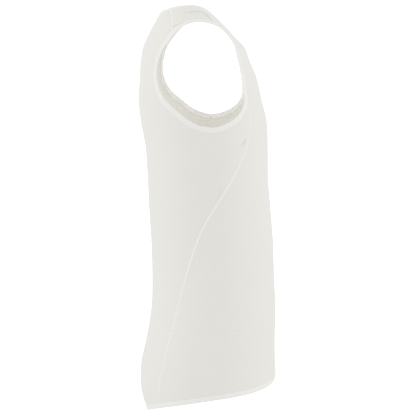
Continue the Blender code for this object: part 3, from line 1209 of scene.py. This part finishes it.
@dataclass
class FrontPanel(Panel):
    """The front: up from the hem and over the shoulders to the seams behind them."""

    cut: tuple[float, float] = (0.66, 0.74)
    cut_area: float = 0.285
    waist_share: float = 0.84

    def build(self, knit: Material) -> Thing:
        """Make the panel from a chest patch and a strap patch on each side.

        Args:
            knit: the panel's material.

        Returns:
            The finished object.
        """
        lines = self.lines
        side = lines.side_seam
        bottom = lines.panel_foot(side[0, 0] * lines.columns)
        chest_rows = np.linspace(self.waist_share, 1, lines.chest_rows + 1)[1:]
        shares = np.append(lines.rows_up * self.waist_share, chest_rows)
        middle = up_middle(0, bottom[0, 1], lines.panel_neck[0, 1], shares)
        armhole = lines.panel_over[::-1]
        chest_side = np.vstack([side, armhole[1 : lines.chest_rows + 1]])
        chest_line = self.across(middle[-1], chest_side[-1])
        chest = filled(bottom, chest_line, middle, chest_side, lines.columns)
        left = np.vstack([lines.panel_neck[:-1], lines.shoulder[:1]])
        right = np.vstack([armhole[lines.chest_rows : -1], lines.shoulder[-1:]])
        strap = filled(chest_line, lines.shoulder, left, right, lines.columns)
        return self.finish("front_panel", [self.patch(chest, True), self.patch(strap, True)], knit)


@dataclass
class BackPanel(Panel):
    """The back: up from the hem to the shoulder seams, and round under the arms to the front."""

    cut: tuple[float, float] = (0.62, 0.72)
    cut_area: float = 0.275
    underarm_line_z: float = -0.245
    underarm_line_foot: float = 145.0

    def build(self, knit: Material) -> Thing:
        """Make the panel from a lower patch and a patch behind the armhole on each side.

        Args:
            knit: the panel's material.

        Returns:
            The finished object.
        """
        lines = self.lines
        side = lines.side_seam
        turn = math.radians(self.underarm_line_foot)
        behind = math.pi + (turn - math.pi) * lines.columns
        to_seam = crowded(lines.side_columns, [lines.seam_crowd])
        below_arm = turn + (side[0, 0] - turn) * to_seam
        bottom = lines.panel_foot(np.append(behind, below_arm[1:]))
        middle = up_middle(math.pi, bottom[0, 1], self.underarm_line_z, lines.rows_up)
        underarm_line = self.across(middle[-1], lines.panel_behind[0])
        top = np.vstack([underarm_line, lines.panel_below[-2:0:-1], side[-1:]])
        foot_share = (bottom[:, 0] - bottom[0, 0]) / (bottom[-1, 0] - bottom[0, 0])
        lower = filled(bottom, top, middle, side, foot_share)
        shares = np.linspace(0, 1, lines.back_rows + 1)
        middle = up_middle(math.pi, self.underarm_line_z, lines.panel_nape[-1, 1], shares)
        left = np.vstack([middle, lines.panel_nape[-2:0:-1], lines.shoulder[:1]])
        right = np.vstack([lines.panel_behind[:-1], lines.shoulder[-1:]])
        upper = filled(underarm_line, lines.shoulder, left, right, lines.columns)
        return self.finish("back_panel", [self.patch(lower, False), self.patch(upper, False)], knit)


# ---------------------------------------------------------------- stitches


@dataclass
class StitchRow:
    """Sewing stitches in a row along a line, each a closed six-sided capsule half sunk in the cloth."""

    form: BodyForm
    line: Array
    height: float
    skip: float = 0.0
    pitch: float = 0.0028
    gap: float = 0.0005
    radius: float = 0.00018
    near: float = 0.0001
    ring_shares: tuple[float, ...] = (0.0, 0.12, 0.5, 0.88, 1.0)
    ring_widths: tuple[float, ...] = (0.3, 0.85, 1.0, 0.85, 0.3)
    end_faces: tuple[tuple[int, ...], ...] = ((0, 1, 2, 3), (0, 3, 4, 5))
    sides: int = 6

    def mesh(self) -> Mesh:
        """Carry a ring of corners through each stitch: radius (cos(turn) aside + sin(turn) out).

        Returns:
            The stitches' mesh.
        """
        form, line = self.form, self.line
        count = int((form.walked(line)[-1] - self.skip) / self.pitch)
        starts = self.skip + self.gap / 2 + np.arange(count) * self.pitch
        marks = starts[:, None] + np.array(self.ring_shares) * (self.pitch - self.gap)
        behind, ahead = form.at(line, marks - self.near), form.at(line, marks + self.near)
        along = unit(form.point(ahead) - form.point(behind))
        spots = form.at(line, marks)
        out = form.normal(spots)
        rise = creased(form, form.point(spots).reshape(-1, 3)).reshape(marks.shape)
        turn = np.arange(self.sides) * (2 * math.pi / self.sides)
        aside = np.cross(out, along)[:, :, None] * np.cos(turn)[:, None]
        spoke = (aside + out[:, :, None] * np.sin(turn)[:, None]) * self.radius
        centre = form.lifted(spots, self.height + rise)[:, :, None]
        points = centre + spoke * np.array(self.ring_widths)[:, None, None]
        faces, place = self.one_stitch()
        step = len(self.ring_shares) * self.sides
        every_face = (np.arange(count)[:, None, None] * step + faces).reshape(-1, 4)
        u = marks[:, place[..., 0]]
        v = np.broadcast_to(place[..., 1] * self.radius, u.shape)
        return points.reshape(-1, 3), every_face, np.stack([u, v], axis=-1).reshape(-1, 4, 2)

    def one_stitch(self) -> tuple[Array, Array]:
        """Give one stitch's faces, and each corner's ring and number round the ring.

        Returns:
            Point numbers, and (ring, number) pairs, for each face's four corners.
        """
        rings, ends = len(self.ring_shares), np.array(self.end_faces)
        table = np.meshgrid(np.arange(rings), np.arange(self.sides + 1), indexing="ij")
        start = np.stack([np.zeros_like(ends), ends[:, ::-1]], axis=-1)
        end = np.stack([np.full_like(ends, rings - 1), ends], axis=-1)
        place = np.vstack([cells(np.stack(table, axis=-1)), start, end])
        return place[..., 0] * self.sides + place[..., 1] % self.sides, place


# ---------------------------------------------------------------- bindings


@dataclass
class EdgeBinding:
    """A folded strip that closes one open edge, round a ring of places."""

    form: BodyForm
    name: str
    ring: Array
    side: Side = Side.LEFT
    inward: int = -1
    width: float = 0.0095
    proud: float = 0.0012
    thickness: float = 0.0020
    crown: float = 0.00025
    outer_round: float = 0.0006
    inner_round: float = 0.0003
    stitch_inset: float = 0.0019
    fold_steps: int = 8
    crown_steps: int = 8
    round_steps: int = 3
    inside_steps: int = 5
    ripple_height: float = 0.00005
    ripples: tuple[tuple[int, float, float], ...] = ((31, 1.0, 0.0), (47, 0.7, 1.3), (19, 0.5, 2.1))
    join_degrees: float | None = None
    join_ridge: tuple[float, float] = (0.00035, 0.0028)
    join_groove: tuple[float, float] = (0.00045, 0.0006)
    join_step: float = 0.0034

    @property
    def middle(self) -> float:
        """Give the height over the form of the middle of the strip's thickness."""
        return self.proud - self.thickness / 2

    def profile(self) -> tuple[Array, Array]:
        """Give the closed section of the strip.

        It goes up round the fold, a half circle at the open edge, over the crowned outside, down
        the rounded stitched edge, round the smaller inner corner, and back along the inside.

        Returns:
            The distance from the open edge, and the height over the form, of each corner.
        """
        radius, inside = self.thickness / 2, self.proud - self.thickness
        fold = np.radians(np.linspace(-90, 90, self.fold_steps + 1)[:-1])
        run = np.linspace(0, 1, self.crown_steps + 1)
        quarter = np.radians(np.linspace(0, 90, self.round_steps + 1))
        back = np.linspace(1, 0, self.inside_steps + 1)[1:-1]
        outer, inner = self.outer_round, self.inner_round
        stitched, turned = self.width - outer, self.width - inner
        across = [
            radius * (1 - np.cos(fold)),
            radius + run * (stitched - radius),
            stitched + outer * np.sin(quarter[1:]),
            turned + inner * np.cos(quarter),
            radius + back * (turned - radius),
        ]
        height = [
            self.middle + radius * np.sin(fold),
            self.proud + self.crown * np.sin(math.pi * run),
            self.proud - outer * (1 - np.cos(quarter[1:])),
            inside + inner * (1 - np.sin(quarter)),
            np.full(len(back), inside),
        ]
        return np.concatenate(across), np.concatenate(height)

    def ripple(self, walk: Array) -> Array:
        """Give the strip's slight waviness along its length, a sum of three slow sines.

        Args:
            walk: distances along the strip, the last of them its whole length.

        Returns:
            The rise at each.
        """
        turn = 2 * math.pi * walk / walk[-1]
        waves = sum(share * np.sin(times * turn + start) for times, share, start in self.ripples)
        return self.ripple_height * waves

    def join(self, walk: Array) -> Array:
        """Give the ridge and groove where the strip's two ends are joined, if it has a join.

        Each is a bell, height exp(-(way / width)^2), along the strip.

        Args:
            walk: the distance along the strip at each place of the ring.

        Returns:
            The rise at each place.
        """
        if self.join_degrees is None:
            return np.zeros(len(walk))
        angle, z = self.ring[:, 0], self.ring[:, 1]
        off = np.where(z < z.mean(), np.abs(angle - math.radians(self.join_degrees)), np.inf)
        way = walk - walk[off.argmin()]
        (ridge, ridge_width), (groove, groove_width) = self.join_ridge, self.join_groove
        raised = ridge * np.exp(-((way / ridge_width) ** 2))
        return raised - groove * np.exp(-(((way - self.join_step) / groove_width) ** 2))

    def build(self, knit: Material) -> Thing:
        """Carry the section round the ring, square to the form, and dress the strip.

        Args:
            knit: the strip's material.

        Returns:
            The finished object.
        """
        ring, form = self.ring, self.form
        walk = form.walked(np.vstack([ring, ring[:1]]))
        across, height = self.profile()
        ripple, join = self.ripple(walk)[:-1], self.join(walk[:-1])
        columns = []
        for distance, rise in zip(across, height):
            line = form.beside(ring, self.inward * distance, closed=True)
            outward = np.clip((rise - self.middle) * 2 / self.thickness, -1, 1)
            columns.append(form.lifted(line, rise + max(outward, 0) * ripple + outward * join))
        corners = np.column_stack([across, height])
        steps = np.linalg.norm(np.diff(np.vstack([corners, corners[:1]]), axis=0), axis=1)
        round_it = np.append(0, np.cumsum(steps))
        mesh = swept(np.stack(columns, axis=1), walk, round_it, True, self.inward > 0)
        strip = add_piece(self.name + "_cloth", mesh, knit, self.side)
        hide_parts(self.name)
        return strip

    def sew(self, thread: Material) -> Thing:
        """Lay a row of stitches along the strip's stitched edge, on the outside.

        Args:
            thread: the stitches' material.

        Returns:
            The row.
        """
        distance, radius = self.width - self.stitch_inset, self.thickness / 2
        line = self.form.beside(self.ring, self.inward * distance, closed=True)
        whole_turn = 2 * math.pi * round((line[-1, 0] - line[0, 0]) / (2 * math.pi))
        line = np.vstack([line, line[:1] + [whole_turn, 0]])
        run = (distance - radius) / (self.width - self.outer_round - radius)
        height = self.proud + self.crown * math.sin(math.pi * run)
        mesh = StitchRow(self.form, line, height).mesh()
        return add_piece(self.name + "_stitches", mesh, thread, self.side)


# ---------------------------------------------------------------- seams


@dataclass
class FlatSeam:
    """A flat seam: a low band of covering threads on both faces of the cloth, and its stitches."""

    form: BodyForm
    name: str
    line: Array
    side: Side
    foot_length: float = 0.0
    foot_lift: float = 0.0004
    foot_run: float = 0.0015
    foot_drop: float = 2.5
    width: float = 0.0033
    height: float = 0.0007
    arch_power: float = 1.5
    proud: float = Panel.proud
    cloth: float = Panel.thickness
    hem_share: float = 1.15
    hem_depth: float = 0.0001
    needle_gap: float = 0.0008
    step: float = 0.0026
    fewest_steps: int = 40
    arch_steps: int = 8

    def lift(self, walk: Array) -> Array:
        """Give the rise onto the hem band, a smooth step near the start of the line.

        Args:
            walk: distances along the line.

        Returns:
            The rise at each.
        """
        if not self.foot_length:
            return np.zeros(len(walk))
        share = np.clip((self.foot_length - walk) / self.foot_run + 0.5, 0, 1)
        return self.foot_lift * share * share * (3 - 2 * share)

    def band(self, face: Face) -> Mesh:
        """Carry a low arch along the line: height (1 - (d / half width)^2)^power over the cloth.

        Its hems reach on a little past the arch, sunk in the cloth, so that it meets it smoothly.

        Args:
            face: outside or inside.

        Returns:
            The band's mesh.
        """
        form, outside = self.form, face is Face.OUTSIDE
        count = max(self.fewest_steps, int(form.walked(self.line)[-1] / self.step))
        line = form.resampled(self.line, count)
        walk = form.walked(line)
        arch_share = np.linspace(-1, 1, self.arch_steps + 1)
        share = np.concatenate([[-self.hem_share], arch_share, [self.hem_share]])
        arch = self.height * np.clip(1 - share**2, 0, 1) ** self.arch_power
        arch[[0, -1]] = -self.hem_depth
        lift = self.lift(walk)
        columns = []
        for part, rise in zip(share, arch):
            spot = form.beside(line, part * self.width / 2)
            level = creased(form, form.point(spot)) + self.proud
            level += lift + rise if outside else -self.cloth - lift * self.foot_drop - rise
            columns.append(form.lifted(spot, level))
        columns.append(form.lifted(line, np.full(len(line), self.proud - self.cloth / 2)))
        grid = np.stack(columns, axis=1)
        round_it = np.linspace(0, self.width * 2, len(columns) + 1)
        points, faces, flat = swept(grid, walk, round_it, False, True)
        if not outside:
            faces, flat = faces[:, ::-1], flat[:, ::-1]
        caps = self.caps(*grid.shape[:2], outside)
        cap_flat = np.zeros((len(caps), 4, 2))
        return points, np.vstack([faces, caps]), np.vstack([flat, cap_flat])

    def caps(self, rows: int, corners: int, outside: bool) -> Array:
        """Close both ends of the band with four-cornered faces, each between facing corners.

        Args:
            rows: how many sections the band has.
            corners: how many corners a section has, an even number.
            outside: whether the band lies on the outside.

        Returns:
            The faces.
        """
        near = np.arange(corners // 2 - 1)
        far = corners - 1 - near
        start = np.stack([near, near + 1, far - 1, far], axis=-1)
        end = start + (rows - 1) * corners
        return np.vstack([start, end[:, ::-1]] if outside else [start[:, ::-1], end])

    def build(self, knit: Material) -> Thing:
        """Make the band on both faces of the cloth as one object, and dress it."""
        mesh = joined([self.band(face) for face in Face])
        return add_piece(self.name, mesh, knit, self.side)

    def sew(self, thread: Material) -> Thing:
        """Lay two rows of stitches on the band's outside and one along the middle of its inside.

        Args:
            thread: the stitches' material.

        Returns:
            The rows, as one object.
        """
        arch = (1 - (2 * self.needle_gap / self.width) ** 2) ** self.arch_power
        over = self.proud + self.height * arch
        under = self.proud - self.cloth - self.height
        parts = []
        for distance, height in ((self.needle_gap, over), (-self.needle_gap, over), (0.0, under)):
            line = self.form.beside(self.line, distance)
            parts.append(StitchRow(self.form, line, height, skip=self.foot_length).mesh())
        return add_piece(self.name + "_stitches", joined(parts), thread, self.side)


# ---------------------------------------------------------------- studio


@dataclass(frozen=True)
class Lamp:
    """One lamp: a square soft one turned to the top, or a small round one hung inside it."""

    name: str
    kind: LampKind
    place: tuple[float, float, float]
    size: float
    watts: float


# The glows stand for the light that thin cloth lets through.
LAMPS = (
    Lamp("lamp_front", LampKind.SOFT, (0.0, -1.9, 0.25), 1.2, 4.5),
    Lamp("lamp_back", LampKind.SOFT, (0.0, 1.9, 0.35), 1.2, 5.0),
    Lamp("lamp_left", LampKind.SOFT, (2.4, 0.0, 0.7), 1.2, 1.6),
    Lamp("lamp_right", LampKind.SOFT, (-2.4, 0.0, 0.7), 1.2, 1.9),
    Lamp("glow_0", LampKind.GLOW, (0.11, -0.035, -0.130), 0.04, 0.050),
    Lamp("glow_1", LampKind.GLOW, (-0.11, -0.035, -0.130), 0.04, 0.050),
    Lamp("glow_2", LampKind.GLOW, (0.0, -0.03, -0.26), 0.04, 0.070),
    Lamp("glow_3", LampKind.GLOW, (0.0, 0.0, -0.40), 0.04, 0.088),
    Lamp("glow_4", LampKind.GLOW, (0.0, 0.0, -0.54), 0.04, 0.088),
)


@dataclass
class Studio:
    """A white floor, white surroundings, soft lamps and the camera at the picture's angle."""

    azimuth: float = 270.4
    elevation: float = 7.6
    distance: float = 2.75
    target: tuple[float, float, float] = (0.0, 0.0008, -0.3610)
    field_size: float = 0.7470
    sensor: float = 36.0
    nearest: float = 0.05
    farthest: float = 200.0
    floor_z: float = -0.7315
    reach: float = 30.0
    dome_turns: int = 48
    dome_rises: int = 12
    dome_foot: float = -0.001
    dome_top: float = 1.57
    surround: float = 0.90

    def camera(self) -> None:
        """Put the camera on its sphere round the target, with the lens that frames field_size."""
        turn, rise = math.radians(self.azimuth), math.radians(self.elevation)
        flat = math.cos(rise) * self.distance
        away = (math.sin(turn) * flat, -math.cos(turn) * flat, math.sin(rise) * self.distance)
        data = bpy.data.cameras.new("camera")
        data.sensor_width = self.sensor
        data.lens = self.sensor * self.distance / self.field_size
        data.clip_start, data.clip_end = self.nearest, self.farthest
        camera = bpy.data.objects.new("camera", data)
        camera.location = [a + b for a, b in zip(self.target, away)]
        camera.rotation_euler = (math.pi / 2 - rise, 0.0, turn)
        bpy.context.scene.collection.objects.link(camera)
        bpy.context.scene.camera = camera

    def backdrop(self) -> None:
        """Lay the pale floor and stand a dome over it, both plain white and seen by the camera alone.

        The dome is a half sphere: height reach sin(rise) over a circle of reach cos(rise).
        """
        turns = np.linspace(0, 2 * math.pi, self.dome_turns + 1)[:-1]
        rises = np.linspace(self.dome_foot, self.dome_top, self.dome_rises + 1)
        turn, rise = np.meshgrid(turns, rises)
        flat = np.cos(rise) * self.reach
        dome = np.stack([flat * np.cos(turn), flat * np.sin(turn), np.sin(rise) * self.reach], axis=-1)
        index = np.arange(rise.size).reshape(rise.shape)
        walls = cells(np.hstack([index, index[:, :1]]), True)
        corners = np.array([(-1, -1, 0), (1, -1, 0), (1, 1, 0), (-1, 1, 0)]) * self.reach
        paper = WhitePaper().material()
        level = np.array([0, 0, self.floor_z])
        parts = (("floor", corners, np.array([[0, 1, 2, 3]])), ("dome", dome.reshape(-1, 3), walls))
        for name, points, faces in parts:
            part = make_object(name, (points + level, faces, np.zeros((len(faces), 4, 2))), paper)
            for ray in ("diffuse", "glossy", "transmission", "volume_scatter", "shadow"):
                setattr(part, "visible_" + ray, False)

    def hang(self, lamp: Lamp) -> None:
        """Hang a lamp at its place, turned to the middle of the top, out of the camera's sight.

        Args:
            lamp: the lamp.
        """
        data = bpy.data.lights.new(lamp.name, lamp.kind.value)
        data.energy = lamp.watts
        thing = bpy.data.objects.new(lamp.name, data)
        thing.location = lamp.place
        if lamp.kind is LampKind.SOFT:
            data.size = lamp.size
            x, y, z = (a - b for a, b in zip(self.target, lamp.place))
            thing.rotation_euler = (math.atan2(math.hypot(x, y), -z), 0.0, math.atan2(-x, y))
        else:
            data.shadow_soft_size = lamp.size
        thing.visible_camera = False
        bpy.context.scene.collection.objects.link(thing)

    def build(self) -> None:
        """Set up the surroundings, the floor, the lamps and the camera."""
        scene = bpy.context.scene
        world = bpy.data.worlds.new("white_room")
        world.use_nodes = True
        background = world.node_tree.nodes["Background"].inputs
        background["Color"].default_value = (1, 1, 1, 1)
        background["Strength"].default_value = self.surround
        scene.world = world
        scene.view_settings.view_transform = "Standard"
        self.backdrop()
        for lamp in LAMPS:
            self.hang(lamp)
        self.camera()


def main() -> None:
    """Load the frame, make every piece and set up the studio."""
    logging.basicConfig(level=logging.INFO, format="%(name)s: %(message)s")
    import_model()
    form = BodyForm()
    lines = CutLines(form)
    flat_map = ClothMap(form)
    pique, smooth, thread = PiqueKnit().material(), SmoothKnit().material(), SewingThread().material()
    cover = SmoothKnit(name="seam_stitches", colour=(0.885, 0.879, 0.852), height=0.00003).material()

    FrontPanel(form, lines, flat_map).build(pique)
    BackPanel(form, lines, flat_map).build(pique)
    bindings = [
        EdgeBinding(form, "neck_binding", lines.neck_ring()),
        EdgeBinding(form, "hem_band", lines.hem_ring(), inward=1),
    ]
    seams = []
    foot = lines.binding_width
    for side in Side:
        name, ring = side.value, lines.armhole_ring()
        bindings.append(EdgeBinding(form, "armhole_binding_" + name, ring, side, join_degrees=86.5))
        seams.append(FlatSeam(form, "side_seam_" + name, lines.covered_seam, side, foot_length=foot))
        seams.append(FlatSeam(form, "shoulder_seam_" + name, lines.shoulder, side))
    for pieces, knit in ((bindings, smooth), (seams, cover)):
        for piece in pieces:
            piece.build(knit)
            piece.sew(thread)

    Studio().build()


if __name__ == "__main__":
    main()
